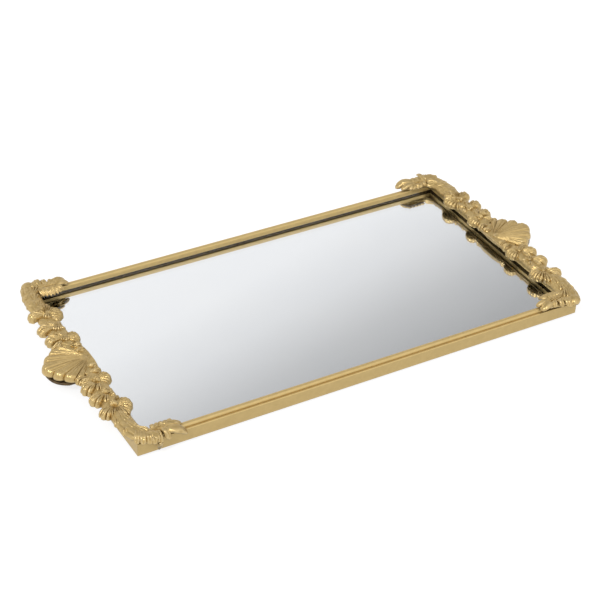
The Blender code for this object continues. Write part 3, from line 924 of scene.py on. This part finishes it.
def make_shell(paint):
    """The scallop handle: a fan of round lobes, finely fluted, with thick rolled rims."""
    turns, rings = 348, 60
    sections = []
    for i in range(turns + 1):
        angle = SHELL_NOTCHES[0] + (SHELL_NOTCHES[-1] - SHELL_NOTCHES[0]) * i / turns
        across, along = cos(radians(angle)), sin(radians(angle))
        rim, bulge = shell_rim(angle)
        uneven = 0.7 + 0.9 * turbulence.noise((angle / 9.0, 0, 0))
        valley = (1 - gadroon(angle / SHELL_FLUTE + 0.5)) * uneven
        valley += 0.3 * (1 - gadroon(angle / SHELL_FINE_FLUTE))
        upper, lower = [], []
        for j in range(rings + 1):
            s = 1 - (1 - j / rings) ** 1.5
            r = SHELL_START + (rim - SHELL_START) * s
            upper.append((SHELL_HINGE_X + r * across, r * along, shell_top(angle, s, bulge, valley)))
            r *= 1 - 0.03 * smoothstep(s, 0.9, 1.0)
            lower.append((SHELL_HINGE_X + r * across, r * along, SHELL_UNDERSIDE + 1.2 * (1 - s)))
        sections.append(upper + lower[::-1])
    shell = loft("right_shell", sections)
    shell.data.materials.append(paint)
    set_sharp(shell, 60)
    return shell


def turned_copy(obj, name):
    """The same piece at the other end of the tray, turned half round about Z."""
    mesh = obj.data.copy()
    mesh.transform(Matrix.Rotation(pi, 4, "Z"))
    return linked(name, mesh)


# ---------------------------------------------------------------- stage, light and camera


def make_floor():
    """A wide, pale floor that glows evenly, just under the tray."""
    half, clearance = 4.0, 0.00002
    mesh = bpy.data.meshes.new("floor")
    corners = [(-half, -half, 0), (half, -half, 0), (half, half, 0), (-half, half, 0)]
    mesh.from_pydata(corners, [], [(0, 1, 2, 3)])
    made, _, shader = new_material("pale_floor")
    shader.inputs["Base Color"].default_value = FLOOR_GREY
    shader.inputs["Roughness"].default_value = 0.9
    shader.inputs["Specular IOR Level"].default_value = 0.0
    shader.inputs["Emission Color"].default_value = (1, 1, 1, 1)
    shader.inputs["Emission Strength"].default_value = 0.80
    mesh.materials.append(made)
    floor = linked("floor", mesh)
    floor.location.z = -clearance


def make_world():
    """A studio: bright at the far horizon, with a grey band above it, and brightest high up on the near side.

    The mirror shows the foot of the grey band as a soft gradient.
    """
    world = bpy.data.worlds.new("studio")
    bpy.context.scene.world = world
    world.use_nodes = True
    tree = world.node_tree
    coordinates = tree.nodes.new("ShaderNodeTexCoord")
    towards = tree.nodes.new("ShaderNodeVectorMath")
    towards.operation = "DOT_PRODUCT"
    azimuth, elevation = radians(SKY_AZIMUTH), radians(SKY_ELEVATION)
    axis = (sin(azimuth) * cos(elevation), cos(azimuth) * cos(elevation), sin(elevation))
    towards.inputs[1].default_value = axis
    tree.links.new(coordinates.outputs["Generated"], towards.inputs[0])
    spread = node(tree, "ShaderNodeMapRange", From_Min=-0.96, From_Max=0.04)
    tree.links.new(towards.outputs["Value"], spread.inputs["Value"])
    levels = [(0.0, 1.35), (0.21, 1.0), (0.46, 0.80), (0.72, 0.52), (0.86, 0.42),
              (0.878, 0.455), (0.908, 0.60), (0.938, 0.815), (0.968, 0.955), (1.0, 0.985)]
    stops = [(place, tuple(level * tint for tint in SKY_TINT)) for place, level in levels]
    sky = colour_ramp(tree, spread.outputs["Result"], *stops)
    tree.links.new(sky, tree.nodes["Background"].inputs["Color"])


def make_sun():
    """The key light: distant and soft."""
    lamp = bpy.data.lights.new("key", "SUN")
    lamp.energy = SUN_STRENGTH
    lamp.angle = radians(SUN_SPREAD)
    sun = linked("key", lamp)
    sun.rotation_mode = "QUATERNION"
    sun.rotation_quaternion = Vector(SUN_TOWARDS).to_track_quat("Z", "Y")


def make_camera():
    """The camera, by its place and its yaw, pitch and roll."""
    data = bpy.data.cameras.new("camera")
    data.lens = CAMERA_LENS
    data.sensor_width = 36.0
    data.clip_start, data.clip_end = 0.05, 20.0
    yaw, pitch, roll = radians(CAMERA_YAW), radians(CAMERA_PITCH), radians(CAMERA_ROLL)
    forward = Vector((sin(yaw) * cos(pitch), cos(yaw) * cos(pitch), -sin(pitch)))
    level = Vector((cos(yaw), -sin(yaw), 0))
    rise = level.cross(forward)
    right = level * cos(roll) + rise * sin(roll)
    up = rise * cos(roll) - level * sin(roll)
    turn = Matrix((right, up, -forward)).transposed()
    camera = linked("camera", data)
    camera.matrix_world = Matrix.Translation(CAMERA_PLACE) @ turn.to_4x4()
    bpy.context.scene.camera = camera


# ---------------------------------------------------------------- assembly


def settle(piece, slot, *nodes):
    """Puts a visual piece on the tray's one body, in place of its CAD nodes."""
    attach(piece, "root")
    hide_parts(*nodes)


def paint_node(name, surface):
    """Gives a CAD node that stays in view a procedural material."""
    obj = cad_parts[name]
    obj.data.materials.clear()
    obj.data.materials.append(surface)


def build_frame():
    """The rails, the glass and the felt."""
    surfaces = (
        rail_paint("gold_paint_rails", 1.0),
        # The rebate's dark core, partly painted shade under the lip.
        raw_board("rebate_core_painted_shade", CORE_WOOD_AND_SHADE, 0.05),
        # A darker copy of the rail paint for the outer walls: painted shade.
        rail_paint("gold_paint_walls_shaded", 0.83),
    )
    for side in ("front", "back", "left", "right"):
        settle(make_rail(side, surfaces), "gold_paint", side + "_rail")
    settle(make_glass(clear_glass(), silvering()), "mirror", "mirror_glass")
    felt = make_felt(felt_cloth())
    settle(felt, "felt", "felt_base")


def build_ends():
    """Both castings and both shells."""
    casting = make_casting(carved_paint("gold_paint_cast", 0.80), tongue_shade_paint())
    shell = make_shell(carved_paint("gold_paint_shell", 0.30))
    left_casting, left_shell = turned_copy(casting, "left_casting"), turned_copy(shell, "left_shell")
    settle(casting, "gold_paint", "right_end_casting")
    settle(left_casting, "gold_paint", "left_end_casting")
    settle(shell, "gold_paint", "right_shell_handle")
    settle(left_shell, "gold_paint", "left_shell_handle")


def paint_hidden_nodes():
    """The board and the steel pieces, which stay as the CAD model has them."""
    board, steel = raw_board("hardboard", HARDBOARD, 0.5), plated_steel()
    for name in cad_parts:
        if name == "backing_board":
            paint_node(name, board)
        elif name.startswith(("corner_angle", "glazing_point", "casting_screw", "shell_screw")):
            paint_node(name, steel)


make_camera()
build_frame()
build_ends()
paint_hidden_nodes()
make_floor()
make_world()
make_sun()
bpy.context.scene.view_settings.view_transform = "Standard"
